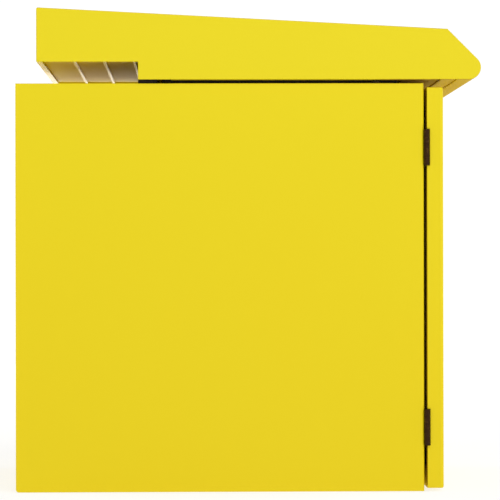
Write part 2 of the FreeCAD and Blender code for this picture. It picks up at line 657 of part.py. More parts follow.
# Cam lock: the housing is nutted to the door, the plug and its cam turn in it.
BODY_REAR = "(cabinet_depth - sheet - cam_clearance + lock_body_past_flange)"
CAM_FRONT = "(cabinet_depth - sheet - cam_clearance)"
housing = new_body("lock_housing")
pad(housing, "barrel", "XZ", BODY_REAR, f"{DOOR_FRONT} - {BODY_REAR}", circles=[
    (LOCK_X, "lock_height", "lock_body_radius"), (LOCK_X, "lock_height", "lock_bore_radius"),
])
pad(housing, "head", "XZ", DOOR_FRONT, "lock_head", circles=[
    (LOCK_X, "lock_height", "lock_head_radius"), (LOCK_X, "lock_height", "lock_bore_radius"),
])
washer = new_body("lock_washer")
pad(washer, "ring", "XZ", f"{INSIDE_FRONT} - lock_washer", "lock_washer", circles=[
    (LOCK_X, "lock_height", "lock_washer_radius"), (LOCK_X, "lock_height", "lock_body_radius"),
])
lock_nut = new_body("lock_nut")
pad(lock_nut, "hexagon", "XZ", f"{INSIDE_FRONT} - lock_washer - lock_nut", "lock_nut",
    outlines=[hexagon(LOCK_X, "lock_height", "lock_nut_flats")],
    circles=[(LOCK_X, "lock_height", "lock_body_radius")])

plug = new_body("lock_plug")
pad(plug, "cylinder", "XZ", CAM_FRONT, f"{DOOR_FRONT} + lock_head - {CAM_FRONT}",
    circles=[(LOCK_X, "lock_height", "lock_plug_radius")])
pad(plug, "shank", "XZ", f"{CAM_FRONT} - cam_sheet", "cam_sheet", outlines=[
    box(f"{LOCK_X} - lock_shank_half", f"{LOCK_X} + lock_shank_half",
        "lock_height - lock_shank_half", "lock_height + lock_shank_half"),
])
cut(plug, "key_slot", "XZ", f"{DOOR_FRONT} + lock_head - key_slot_depth", "key_slot_depth + 1", outlines=[
    box(f"{LOCK_X} - key_slot_half_width", f"{LOCK_X} + key_slot_half_width",
        "lock_height - key_slot_half_height", "lock_height + key_slot_half_height"),
])
cut(plug, "screw_hole", "XZ", f"{CAM_FRONT} - cam_sheet - 1", "cam_screw_depth + 1",
    circles=[(LOCK_X, "lock_height", "cam_screw_radius")])
cam = new_body("lock_cam")
pad(cam, "blade", "XZ", f"{CAM_FRONT} - cam_sheet", "cam_sheet", outlines=[
    box(f"{LOCK_X} - cam_half_width", f"{LOCK_X} + cam_half_width",
        "lock_height - cam_reach", "lock_height + cam_half_width"),
    box(f"{LOCK_X} - lock_shank_half", f"{LOCK_X} + lock_shank_half",
        "lock_height - lock_shank_half", "lock_height + lock_shank_half"),
])
round_edges(cam, "corners", "cam_half_width - 1", "y", [
    (f"{LOCK_X} - cam_half_width", "lock_height + cam_half_width"),
    (f"{LOCK_X} + cam_half_width", "lock_height + cam_half_width"),
    (f"{LOCK_X} - cam_half_width", "lock_height - cam_reach"),
    (f"{LOCK_X} + cam_half_width", "lock_height - cam_reach"),
])
cam_screw = new_body("lock_cam_screw")
pad(cam_screw, "shank", "XZ", f"{CAM_FRONT} - cam_sheet", "cam_screw_depth",
    circles=[(LOCK_X, "lock_height", "cam_screw_radius")])
pad(cam_screw, "head", "XZ", f"{CAM_FRONT} - cam_sheet - cam_screw_head", "cam_screw_head",
    circles=[(LOCK_X, "lock_height", "cam_screw_head_radius")])
cut(cam_screw, "socket", "XZ", f"{CAM_FRONT} - cam_sheet - cam_screw_head - 1", "cam_screw_head * 0.6 + 1",
    outlines=[hexagon(LOCK_X, "lock_height", "3")])

# ---------------------------------------------------------------- nameplate

# A frame riveted to the door; it is rebated behind for a clear window and a paper card.
PLATE_Z = "(cabinet_height - plate_drop)"
plate_rivet_spots = [(f"{sign} * (plate_half_width - plate_rivet_inset)", PLATE_Z) for sign in (-1, 1)]
VIEW_SIDE = "(plate_half_width - plate_side_border)"
VIEW_UP = "(plate_half_height - plate_border)"
frame = new_body("nameplate_frame")
pad(frame, "ring", "XZ", DOOR_FRONT, "plate_thickness", outlines=[
    box("-plate_half_width", "plate_half_width",
        f"{PLATE_Z} - plate_half_height", f"{PLATE_Z} + plate_half_height"),
    box(f"-{VIEW_SIDE}", VIEW_SIDE, f"{PLATE_Z} - {VIEW_UP}", f"{PLATE_Z} + {VIEW_UP}"),
])
round_edges(frame, "corners", "2", "y", [
    (f"{sign} * plate_half_width", f"{PLATE_Z} + {up} * plate_half_height")
    for sign in (-1, 1) for up in (-1, 1)
])
REBATE = box(f"-({VIEW_SIDE} + plate_rebate)", f"{VIEW_SIDE} + plate_rebate",
             f"{PLATE_Z} - {VIEW_UP} - plate_rebate", f"{PLATE_Z} + {VIEW_UP} + plate_rebate")
cut(frame, "rebate", "XZ", f"{DOOR_FRONT} - 1", "1 + card_thickness + window_thickness", outlines=[REBATE])
cut(frame, "rivet_holes", "XZ", f"{DOOR_FRONT} - 1", "plate_thickness + 2",
    circles=[(across, up, "plate_rivet_radius") for across, up in plate_rivet_spots])
card = new_body("nameplate_card")
pad(card, "sheet", "XZ", DOOR_FRONT, "card_thickness", outlines=[REBATE])
window = new_body("nameplate_window")
pad(window, "pane", "XZ", f"{DOOR_FRONT} + card_thickness", "window_thickness", outlines=[REBATE])
cut(door, "plate_rivet_holes", "XZ", f"{DOOR_FRONT} - sheet - 1", "sheet + 2",
    circles=[(across, up, "plate_rivet_radius") for across, up in plate_rivet_spots])
plate_rivets = new_body("nameplate_rivets")
for name, start, length, radius in (
    ("shanks", INSIDE_FRONT, "sheet + plate_thickness", "plate_rivet_radius"),
    ("front_heads", f"{DOOR_FRONT} + plate_thickness", "0.8", "plate_rivet_head_radius"),
    ("rear_heads", f"{INSIDE_FRONT} - 0.8", "0.8", "plate_rivet_head_radius"),
):
    pad(plate_rivets, name, "XZ", start, length,
        circles=[(across, up, radius) for across, up in plate_rivet_spots])

# ---------------------------------------------------------------- lid

# The outline is worked out from the top line (falling forward by lid_slope), the 45 degree
# slope and the rounded nose; along(X) and above(Z) turn lid distances into the cabinet frame.
LID_FOOT = "(cabinet_height + lid_gap)"
LID_INNER = f"({HALF} + lid_overhang - sheet)"
LID_LENGTH = "(cabinet_depth + nose_reach - lid_rear_inset)"
SLOPE_SUM = f"({LID_LENGTH} + sqrt(2) * nose_radius)"
INNER_SUM = f"({SLOPE_SUM} - sqrt(2) * sheet)"
TOP_BREAK = f"(({SLOPE_SUM} - lid_height) / (1 - tan(lid_slope)))"
SKIN = "(sheet / cos(lid_slope))"
INNER_BREAK = f"(({INNER_SUM} - lid_height + {SKIN}) / (1 - tan(lid_slope)))"


def along(place):
    return f"-(lid_rear_inset + {place})"


def above(rise):
    return f"{LID_FOOT} + {rise}"


lid_wrap = new_body("lid_wrap")
pad(lid_wrap, "folded_sheet", "YZ", f"-{LID_INNER}", f"2 * {LID_INNER}", outlines=[[
    (along("0"), above("tail_cut_height")),
    (along("0"), above("lid_height")),
    (along(TOP_BREAK), above(f"{SLOPE_SUM} - {TOP_BREAK}")),
    (along(SLOPE_SUM), above("0")),
    (along(f"({LID_LENGTH} - nose_radius - nose_hem)"), above("0")),
    (along(f"({LID_LENGTH} - nose_radius - nose_hem)"), above("sheet")),
    (along(f"{INNER_SUM} - sheet"), above("sheet")),
    (along(INNER_BREAK), above(f"{INNER_SUM} - {INNER_BREAK}")),
    (along("sheet"), above(f"lid_height - sheet * tan(lid_slope) - {SKIN}")),
    (along("sheet"), above("tail_cut_height + sheet")),
    (along("tail_hem"), above("tail_cut_height + sheet")),
    (along("tail_hem"), above("tail_cut_height")),
]])
round_edges(lid_wrap, "nose_outside", "nose_radius", "x", [(along(SLOPE_SUM), above("0"))])
round_edges(lid_wrap, "nose_inside", "nose_radius - sheet", "x",
            [(along(f"{INNER_SUM} - sheet"), above("sheet"))])
round_edges(lid_wrap, "rear_top", "corner_radius", "x", [(along("0"), above("lid_height"))])

# Cheeks close the sides; an inward flange stiffens the long lower edge ahead of the pivots.
for side, sign in SIDES.items():
    cheek = new_body(f"lid_cheek_{side}")
    low = f"-({LID_INNER} + sheet)" if sign == "-1" else LID_INNER
    pad(cheek, "plate", "YZ", low, "sheet", outlines=[[
        (along("0"), above("tail_cut_height")),
        (along("0"), above("lid_height")),
        (along(TOP_BREAK), above(f"{SLOPE_SUM} - {TOP_BREAK}")),
        (along(SLOPE_SUM), above("0")),
        (along("tail_cut_length"), above("0")),
        (along("tail_cut_length"), above("tail_cut_height")),
    ]])
    round_edges(cheek, "nose", "nose_radius", "x", [(along(SLOPE_SUM), above("0"))])
    round_edges(cheek, "rear_top", "corner_radius", "x", [(along("0"), above("lid_height"))])
    pad(cheek, "bottom_flange", "XY", LID_FOOT, "sheet", outlines=[
        box(f"{sign} * ({LID_INNER} - cheek_flange)", f"{sign} * {LID_INNER}",
            "-(cabinet_depth + cheek_flange_reach)", along("cheek_flange_start")),
    ])

# Flat pans close the hood's underside: one just above the tail's edges, one laid on the nose hem.
HEM_END = f"({LID_LENGTH} - nose_radius - nose_hem)"
tail_pan = new_body("lid_tail_pan")
pad(tail_pan, "plate", "XY", above("tail_cut_height + rib_height"), "sheet", outlines=[
    box(f"-{LID_INNER}", LID_INNER, along("tail_cut_length"), along("sheet")),
])
front_pan = new_body("lid_front_pan")
pad(front_pan, "plate", "XY", above("sheet"), "sheet", outlines=[
    box(f"-{LID_INNER}", LID_INNER, along(f"{HEM_END} + pan_lap"), "-(cabinet_depth - front_pan_setback)"),
])

# Flat bars welded across under the pans: three at the tail, one at the nose.
ribs = {
    "lid_tail_rib_1": ("tail_rib_first", "tail_cut_height", "rib_height"),
    "lid_tail_rib_2": ("(tail_rib_first + tail_rib_pitch)", "tail_cut_height", "rib_height"),
    "lid_tail_rib_3": ("(tail_rib_first + 2 * tail_rib_pitch)", "tail_cut_height", "rib_height"),
    "lid_front_rib": ("(cabinet_depth + front_rib_reach - lid_rear_inset)", "0", "sheet"),
}
for label, (place, foot, height) in ribs.items():
    rib = new_body(label)
    pad(rib, "bar", "YZ", f"-{LID_INNER}", f"2 * {LID_INNER}", outlines=[
        box(along(place), along(f"{place} + rib_width"), above(foot), above(f"{foot} + {height}")),
    ])

# Shouldered studs welded inside the cheeks run in the bushes and are held by open clips.
SHOULDER_END = f"({LID_INNER} - stud_shoulder)"
STUD_END = f"({EAR_IN} - bush_tail - stud_tail)"
GROOVE = f"({STUD_END} + stud_tail / 2)"
studs = new_body("lid_studs")
clips = new_body("stud_clips")
for side, sign in SIDES.items():
    def low(first, second):
        return f"-{second}" if sign == "-1" else first

    pad(studs, f"{side}_shoulder", "YZ", low(SHOULDER_END, LID_INNER), "stud_shoulder",
        circles=[(PIVOT_Y, PIVOT_Z, "stud_shoulder_radius")])
    pad(studs, f"{side}_shank", "YZ", low(GROOVE, SHOULDER_END), f"{SHOULDER_END} - {GROOVE}",
        circles=[(PIVOT_Y, PIVOT_Z, "stud_radius")])
    pad(studs, f"{side}_neck", "YZ", low(f"({GROOVE} - clip_sheet)", GROOVE), "clip_sheet",
        circles=[(PIVOT_Y, PIVOT_Z, "clip_groove_radius")])
    pad(studs, f"{side}_tip", "YZ", low(STUD_END, f"({GROOVE} - clip_sheet)"),
        f"{GROOVE} - clip_sheet - {STUD_END}", circles=[(PIVOT_Y, PIVOT_Z, "stud_radius")])
    pad(clips, f"{side}_ring", "YZ", low(f"({GROOVE} - clip_sheet)", GROOVE), "clip_sheet", circles=[
        (PIVOT_Y, PIVOT_Z, "clip_radius"), (PIVOT_Y, PIVOT_Z, "clip_groove_radius"),
    ])
cut(clips, "mouths", "YZ", f"-{HALF}", "cabinet_width", outlines=[
    box(f"{PIVOT_Y} - clip_gap", f"{PIVOT_Y} + clip_gap", f"{PIVOT_Z} - clip_radius - 1", PIVOT_Z),
])

# ---------------------------------------------------------------- finish

doc.recompute()
bodies = [item for item in doc.Objects if item.TypeId == "PartDesign::Body"]
for item in doc.Objects:
    if "Invalid" in item.State or "Error" in item.State:
        raise RuntimeError(f"{item.Name} could not be worked out")
for body in bodies:
    if body.Shape.isNull() or not body.Shape.isValid():
        raise RuntimeError(f"{body.Label} has no sound shape")

os.makedirs("parts", exist_ok=True)
for body in bodies:
    body.Shape.exportStep(f"parts/{body.Label}.step")
    bounds = body.Shape.BoundBox
    print(f"{body.Label:28s} {len(body.Shape.Solids)} solids  "
          f"x {bounds.XMin:.1f} {bounds.XMax:.1f}  y {bounds.YMin:.1f} {bounds.YMax:.1f}  "
          f"z {bounds.ZMin:.1f} {bounds.ZMax:.1f}")
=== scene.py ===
import math

import bpy
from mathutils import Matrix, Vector


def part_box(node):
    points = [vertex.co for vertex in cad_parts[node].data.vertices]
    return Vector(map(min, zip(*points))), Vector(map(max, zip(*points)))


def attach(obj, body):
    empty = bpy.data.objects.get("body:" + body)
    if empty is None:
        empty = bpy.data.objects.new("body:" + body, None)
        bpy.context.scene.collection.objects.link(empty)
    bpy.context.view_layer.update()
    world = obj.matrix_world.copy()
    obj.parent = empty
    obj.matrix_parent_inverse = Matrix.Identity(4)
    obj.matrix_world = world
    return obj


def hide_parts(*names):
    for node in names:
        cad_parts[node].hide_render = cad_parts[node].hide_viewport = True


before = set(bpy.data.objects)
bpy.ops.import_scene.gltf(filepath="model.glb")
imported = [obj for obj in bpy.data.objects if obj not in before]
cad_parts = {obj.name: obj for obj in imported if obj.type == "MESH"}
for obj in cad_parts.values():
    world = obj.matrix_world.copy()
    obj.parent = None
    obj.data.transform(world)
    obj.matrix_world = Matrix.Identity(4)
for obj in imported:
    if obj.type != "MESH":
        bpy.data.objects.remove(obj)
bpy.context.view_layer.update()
bpy.ops.object.select_all(action="DESELECT")


# ---------------------------------------------------------------- cabinet shell
# Floor and back folded from one sheet, two side panels and a top with the letter mouth, all
# 1.2 mm steel, folded and spot welded, then coated in one go with yellow powder. The cut
# edges are sheared square and the melted powder rounds them a little.

MM = 0.001


class Value:
    """A number that changes over a surface; sums and products of it add Math nodes."""

    def __init__(self, finish, socket):
        self.finish = finish
        self.socket = socket

    def work_out(self, operation, first, second):
        return self.finish.node("ShaderNodeMath", {"operation": operation}, {0: first, 1: second})

    def __add__(self, other):
        return self.work_out("ADD", self, other)

    def __radd__(self, other):
        return self.work_out("ADD", other, self)

    def __sub__(self, other):
        return self.work_out("SUBTRACT", self, other)

    def __rsub__(self, other):
        return self.work_out("SUBTRACT", other, self)

    def __mul__(self, other):
        return self.work_out("MULTIPLY", self, other)

    def __rmul__(self, other):
        return self.work_out("MULTIPLY", other, self)


class Finish:
    """One material: its shader and the nodes that vary it over the piece."""

    def __init__(self, name, **constants):
        self.material = bpy.data.materials.new(name)
        self.material.use_nodes = True
        self.tree = self.material.node_tree
        self.shader = self.tree.nodes["Principled BSDF"]
        for socket, value in constants.items():
            self.shader.inputs[socket.replace("_", " ")].default_value = value
        self.place = self.node("ShaderNodeTexCoord", output="Object")

    def feed(self, socket, value):
        if isinstance(value, Value):
            self.tree.links.new(value.socket, socket)
        else:
            socket.default_value = value

    def node(self, kind, settings=None, sockets=None, output=0):
        """A node of any kind: its settings are made first, then its sockets are fed."""
        made = self.tree.nodes.new(kind)
        for name, value in (settings or {}).items():
            setattr(made, name, value)
        for name, value in (sockets or {}).items():
            self.feed(made.inputs[name], value)
        return Value(self, made.outputs[output])

    def noise(self, scale, detail=2.0, place=None):
        return self.node("ShaderNodeTexNoise", None,
                         {"Vector": place or self.place, "Scale": scale, "Detail": detail})

    def stretched(self, scale):
        return self.node("ShaderNodeMapping", None, {"Vector": self.place, "Scale": scale})

    def step(self, value, low, high):
        """0 below low, 1 above high and a straight rise between."""
        return self.node("ShaderNodeMapRange", None,
                         {"Value": value, "From Min": low, "From Max": high})

    def mix(self, factor, first, second):
        return self.node("ShaderNodeMix", {"data_type": "RGBA"},
                         {0: factor, 6: first, 7: second}, 2)

    def part(self, vector, axis):
        """One of the three numbers of a vector: 0 across, 1 along, 2 up."""
        return self.node("ShaderNodeSeparateXYZ", None, {0: vector}, axis)

    def colour(self, value):
        self.feed(self.shader.inputs["Base Color"], value)

    def roughness(self, value):
        self.feed(self.shader.inputs["Roughness"], value)

    def relief(self, height, depth, strength):
        self.feed(self.shader.inputs["Normal"], self.node(
            "ShaderNodeBump", None, {"Height": height, "Distance": depth, "Strength": strength}))


COAT_SHEEN = 0.28
COAT_ROUGHNESS = 0.42
PEEL, GRAIN, FLECK, DRIFT = 750.0, 3200.0, 1500.0, 7.0      # lumps to the metre
PEEL_DEPTH = 0.05 * MM
FACING_DOWN = (-0.5, -0.8)
NOSE_START = (-0.10, -0.12)
REAR_HEM_START = (0.165, 0.171)
NOSE_MATT, REAR_HEM_GLOSS = 0.4, 0.24


def powder_coat(name, colour, deep_and_shade, height, gloss=0.0, underside_shade=None):
    """Satin powder coat: orange peel, finer grains, a slow random drift of tone, and painted shade:
    a slightly deeper tone painted towards the foot of a face of the given height. Given a tone for
    the underside, faces that look down under the nose are painted in it as painted shade and made
    matt, and the coat lies thick and glossy along the rear hem."""
    coat = Finish(name, Specular_IOR_Level=COAT_SHEEN)
    peel = coat.noise(PEEL, 2.0)
    grain = coat.noise(GRAIN, 1.0)
    drift = coat.step(coat.noise(DRIFT, 3.0), 0.3, 0.7)
    fleck = coat.step(coat.noise(FLECK, 0.0), 0.70, 0.80)
    # painted shade: the coat is painted deeper towards the foot of each face, standing for the
    # dimmer light low down
    foot = 1.0 - coat.step(coat.part(coat.place, 2), 0.0, height)
    tone = coat.mix(foot * 0.7 + drift * 0.2 + fleck * 0.1, colour, deep_and_shade)
    if underside_shade:
        # painted shade: faces that look down under the nose are painted in the darker underside
        # tone
        facing = coat.node("ShaderNodeNewGeometry", output=1)
        down = coat.step(coat.part(facing, 2), *FACING_DOWN)
        run = coat.part(coat.place, 1)
        nose_shade_and_matt = down * coat.step(run, *NOSE_START)
        tone = coat.mix(nose_shade_and_matt, tone, underside_shade)
        gloss = down * coat.step(run, *REAR_HEM_START) * REAR_HEM_GLOSS - nose_shade_and_matt * NOSE_MATT
    coat.colour(tone)
    coat.roughness(COAT_ROUGHNESS - gloss + drift * 0.05 + grain * 0.06)
    coat.relief(peel * 0.75 + grain * 0.25, PEEL_DEPTH, 0.35)
    return coat.material


WELD = 0.002 * MM
FLAT = math.radians(0.4)
SHARP = math.radians(32)
SMOOTH = math.radians(40)
RIM_RADIUS = 0.85 * MM
RIM_SEGMENTS = 4
RIM_SLACK = 0.01 * MM


def fine_edged(node, name, body, material, edge, segments=2, rim=None, split_first=False):
    """A piece of its CAD shape whose sharp edges are rounded by the given radius. The rim of its
    outward face is rounded more, when the distance of that face from the middle is given. Where
    asked, faces with hollow corners are split into convex ones before the rounding."""
    piece = bpy.data.objects.new(name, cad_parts[node].data.copy())
    bpy.context.scene.collection.objects.link(piece)
    piece.data.materials.clear()
    piece.data.materials.append(material)
    bpy.ops.object.select_all(action="DESELECT")
    piece.select_set(True)
    bpy.context.view_layer.objects.active = piece
    bpy.ops.mesh.customdata_custom_splitnormals_clear()
    bpy.ops.object.mode_set(mode="EDIT")
    bpy.ops.mesh.select_all(action="SELECT")
    bpy.ops.mesh.remove_doubles(threshold=WELD)
    bpy.ops.mesh.dissolve_limited(angle_limit=FLAT)
    if split_first:
        bpy.ops.mesh.select_all(action="SELECT")
        bpy.ops.mesh.vert_connect_concave()
    if rim is not None:
        bpy.ops.mesh.select_mode(type="EDGE")
        bpy.ops.mesh.select_all(action="DESELECT")
        bpy.ops.mesh.edges_select_sharp(sharpness=SHARP)
        bpy.ops.object.mode_set(mode="OBJECT")
        points = piece.data.vertices
        for line in piece.data.edges:
            ends = [abs(points[end].co.x) for end in line.vertices]
            line.select = line.select and min(ends) > rim - RIM_SLACK
        bpy.ops.object.mode_set(mode="EDIT")
        bpy.ops.mesh.bevel(offset=RIM_RADIUS, segments=RIM_SEGMENTS, affect="EDGES")
        bpy.ops.mesh.select_all(action="SELECT")
        bpy.ops.mesh.vert_connect_concave()
    bpy.ops.object.mode_set(mode="OBJECT")
    soften(piece, edge, segments)
    settle(piece, body)
    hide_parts(node)
    return piece


def soften(piece, edge, segments=2):
    """Round every sharp edge and shade the folds smooth."""
    bpy.ops.object.select_all(action="DESELECT")
    piece.select_set(True)
    bpy.context.view_layer.objects.active = piece
    bevel = piece.modifiers.new("edges", "BEVEL")
    bevel.width = edge
    bevel.segments = segments
    bevel.limit_method = "ANGLE"
    bevel.angle_limit = SHARP
    bevel.use_clamp_overlap = True
    bpy.ops.object.modifier_apply(modifier=bevel.name)
    bpy.ops.object.shade_smooth_by_angle(angle=SMOOTH)
    faces = piece.modifiers.new("faces", "WEIGHTED_NORMAL")
    faces.keep_sharp = True
    bpy.ops.object.modifier_apply(modifier=faces.name)


def settle(piece, body):
    """The piece rides on its body."""
    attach(piece, body)


SHEET_EDGE = 0.35 * MM
# painted shade: the deep colour is painted at the foot of the cabinet's faces, and the random drift
# mixes it in too
CABINET_YELLOW, CABINET_DEEP_AND_SHADE = (0.835, 0.678, 0.0030, 1), (0.855, 0.645, 0.0005, 1)
CABINET_HEIGHT = 0.34
cabinet_coat = powder_coat("cabinet_powder_coat", CABINET_YELLOW, CABINET_DEEP_AND_SHADE, CABINET_HEIGHT)
for node in ("cabinet_wrap", "top_panel", "mail_chute"):
    fine_edged(node, f"{node}_sheet", "cabinet", cabinet_coat, SHEET_EDGE)
for node in ("left_side", "right_side"):
    fine_edged(node, f"{node}_sheet", "cabinet", cabinet_coat, SHEET_EDGE,
               rim=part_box("right_side")[1].x, split_first=True)


# ---------------------------------------------------------------- lid
# A hood of the same sheet: rear wall, top, slope and rolled nose in one piece, cheeks welded
# to its sides, flat pans that close its underside at the tail and nose, and four flat bars
# welded across under the pans. The tail pan and the three tail bars are painted paler and
# creamier than the coat, as painted light for the light reflected and bounced under the tail.

# painted light: the lid's yellow is painted a touch lighter and greener than the cabinet's, for the
# lid on top catching more light; its deep colour is painted at the foot as painted shade
LID_PAINTED_LIT_YELLOW, LID_PAINTED_LIT_DEEP_AND_SHADE = (0.838, 0.690, 0.0060, 1), (0.825, 0.670, 0.0050, 1)
# painted shade: the darker tone painted on the faces that look down under the nose
NOSE_PAINTED_SHADE = (0.62, 0.42, 0.0050, 1)
# painted light: the tail pan and tail bars are painted paler and creamier than the coat, standing
# for light reflected and bounced under the tail
PAN_PAINTED_LIGHT, PAN_PAINTED_LIGHT_DEEP = (0.985, 0.790, 0.0900, 1), (0.970, 0.770, 0.0700, 1)
BAR_PAINTED_LIGHT, BAR_PAINTED_LIGHT_DEEP = (0.870, 0.740, 0.0500, 1), (0.860, 0.730, 0.0400, 1)
LID_TOP = 0.40
BAR_GLOSS = 0.22
BAR_EDGE = 0.74 * MM
lid_coat = powder_coat("lid_powder_coat", LID_PAINTED_LIT_YELLOW, LID_PAINTED_LIT_DEEP_AND_SHADE, LID_TOP, underside_shade=NOSE_PAINTED_SHADE)
pan_painted_light_coat = powder_coat("tail_pan_painted_light_coat", PAN_PAINTED_LIGHT, PAN_PAINTED_LIGHT_DEEP, LID_TOP)
for node, coat in (("lid_wrap", lid_coat), ("lid_front_pan", lid_coat), ("lid_tail_pan", pan_painted_light_coat)):
    fine_edged(node, f"{node}_sheet", "lid", coat, SHEET_EDGE)
for node in ("lid_cheek_left", "lid_cheek_right"):
    fine_edged(node, f"{node}_sheet", "lid", lid_coat, SHEET_EDGE,
               rim=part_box("lid_cheek_right")[1].x)
bar_painted_light_coat = powder_coat("lid_bar_painted_light_coat", BAR_PAINTED_LIGHT, BAR_PAINTED_LIGHT_DEEP, LID_TOP, gloss=BAR_GLOSS)
for node in ("lid_tail_rib_1", "lid_tail_rib_2", "lid_tail_rib_3"):
    fine_edged(node, f"{node}_bar", "lid", bar_painted_light_coat, BAR_EDGE, 4)
fine_edged("lid_front_rib", "lid_front_rib_bar", "lid", lid_coat, BAR_EDGE, 4)


# ---------------------------------------------------------------- door
# A shallow pan of the same sheet with flanges round its open rear, notched for the hinge
# barrels, and a hat channel spot welded down the middle of its inside.

for node in ("door_panel", "door_stiffener"):
    fine_edged(node, f"{node}_sheet", "door", cabinet_coat, SHEET_EDGE)


# ---------------------------------------------------------------- hinges
# Two butt hinges with rolled knuckles and a plain pin, in dark bronze lacquer that has
# rubbed thin in patches; the leaves are held by small sunk screws with zinc-plated nuts.

LACQUER, RUBBED_BRONZE = (0.038, 0.014, 0.001, 1), (0.13, 0.062, 0.009, 1)
bronze = Finish("dark_bronze", Metallic=0.5, Specular_IOR_Level=0.25)
rubbed = bronze.step(bronze.noise(420.0, 4.0), 0.55, 0.75)
bronze.colour(bronze.mix(rubbed, LACQUER, RUBBED_BRONZE))
bronze.roughness(0.52 - rubbed * 0.16)
bronze.relief(bronze.noise(2600.0, 2.0), 0.03 * MM, 0.4)

BRIGHT_ZINC, DULL_ZINC = (0.56, 0.57, 0.59, 1), (0.42, 0.42, 0.41, 1)
zinc = Finish("zinc_plate", Metallic=0.95)
spangle = zinc.node("ShaderNodeTexVoronoi", {"feature": "SMOOTH_F1"},
                    {"Vector": zinc.place, "Scale": 900.0})
dull = zinc.noise(260.0, 3.0)
zinc.colour(zinc.mix(zinc.step(dull, 0.35, 0.7), BRIGHT_ZINC, DULL_ZINC))
zinc.roughness(0.28 + dull * 0.22 + spangle * 0.06)
zinc.relief(dull, 0.02 * MM, 0.3)


def turned(name, foot, axis, steps, material, edge, sides=40, bored=False):
    """A round part built up as on a lathe: each step draws the end face on to a new height and
    radius, in millimetres. The axis points from the foot towards the last step. In a bored part
    the steps go round the whole wall, and its two ends are joined."""
    height, radius = steps[0]
    bpy.ops.object.select_all(action="DESELECT")
    bpy.ops.mesh.primitive_circle_add(vertices=sides, radius=radius * MM, fill_type="NGON",
                                      location=(0, 0, height * MM))
    part = bpy.context.object
    part.name = name
    bpy.ops.object.transform_apply(location=True, rotation=True, scale=True)
    bpy.ops.object.mode_set(mode="EDIT")
    bpy.ops.mesh.select_all(action="SELECT")
    for next_height, next_radius in steps[1:]:
        bpy.ops.mesh.extrude_region_move(
            TRANSFORM_OT_translate={"value": (0, 0, (next_height - height) * MM)})
        ratio = next_radius / radius
        bpy.ops.transform.resize(value=(ratio, ratio, 1), center_override=(0, 0, next_height * MM))
        height, radius = next_height, next_radius
    if bored:
        bpy.ops.mesh.select_all(action="DESELECT")
        bpy.ops.object.mode_set(mode="OBJECT")
        for face in part.data.polygons:
            face.select = len(face.vertices) == sides
        bpy.ops.object.mode_set(mode="EDIT")
        bpy.ops.mesh.delete(type="FACE")
        bpy.ops.mesh.select_all(action="DESELECT")
        bpy.ops.mesh.select_mode(type="EDGE")
        bpy.ops.mesh.select_non_manifold()
        bpy.ops.mesh.bridge_edge_loops()
    bpy.ops.mesh.select_all(action="SELECT")
    bpy.ops.mesh.normals_make_consistent(inside=False)
    bpy.ops.object.mode_set(mode="OBJECT")
    turn = {"x": (0, math.pi / 2, 0), "-x": (0, -math.pi / 2, 0), "y": (-math.pi / 2, 0, 0),
            "-y": (math.pi / 2, 0, 0), "z": (0, 0, 0)}
    part.rotation_euler = turn[axis]
    part.location = foot
    bpy.ops.object.transform_apply(location=True, rotation=True, scale=True)
    part.data.materials.append(material)
    soften(part, edge)
    return part


def copied_to(part, shifts):
    """The part and further copies of it, each with its own mesh, moved by the given shifts."""
    copies = []
    for shift in shifts:
        copy = part.copy()
        copy.data = part.data.copy()
        bpy.context.scene.collection.objects.link(copy)
        copy.location = shift
        bpy.ops.object.select_all(action="DESELECT")
        copy.select_set(True)
        bpy.context.view_layer.objects.active = copy
        bpy.ops.object.transform_apply(location=True, rotation=False, scale=False)
        copies.append(copy)
    return [part] + copies


def joined(name, parts, node, body):
    """Several solids of one kind as a single piece that stands for its CAD node."""
    bpy.ops.object.select_all(action="DESELECT")
    for part in parts:
        part.select_set(True)
    bpy.context.view_layer.objects.active = parts[0]
    bpy.ops.object.join()
    whole = bpy.context.object
    whole.name = name
    settle(whole, body)
    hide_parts(node)


def hollowed(part, corners):
    """Sink a recess into the part: a block between two corners is taken away for each pair."""
    for low, high in corners:
        middle = (Vector(low) + Vector(high)) / 2
        bpy.ops.object.select_all(action="DESELECT")
        bpy.ops.mesh.primitive_cube_add(size=1, location=middle, scale=Vector(high) - Vector(low))
        block = bpy.context.object
        bpy.ops.object.transform_apply(location=True, rotation=True, scale=True)
        recess = part.modifiers.new("recess", "BOOLEAN")
        recess.object = block
        recess.operation = "DIFFERENCE"
        recess.solver = "EXACT"
        bpy.ops.object.select_all(action="DESELECT")
        part.select_set(True)
        bpy.context.view_layer.objects.active = part
        bpy.ops.object.modifier_apply(modifier=recess.name)
        bpy.data.objects.remove(block)


LEAF_EDGE = 0.18 * MM
PIN_STEPS = [(0, 0.7), (0.25, 1.1), (0.6, 1.3), (29.4, 1.3), (29.75, 1.1), (30, 0.7)]
for level in ("lower", "upper"):
    for owner in ("cabinet", "door"):
        node = f"hinge_{owner}_leaf_{level}"
        fine_edged(node, f"{node}_brass", owner, bronze.material, LEAF_EDGE)
    low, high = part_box(f"hinge_pin_{level}")
    pin_foot = ((low.x + high.x) / 2, (low.y + high.y) / 2, low.z)
    pin = turned(f"hinge_pin_{level}_rod", pin_foot, "z", PIN_STEPS, bronze.material,
                 0.05 * MM, sides=24)
    settle(pin, "cabinet")
    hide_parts(f"hinge_pin_{level}")

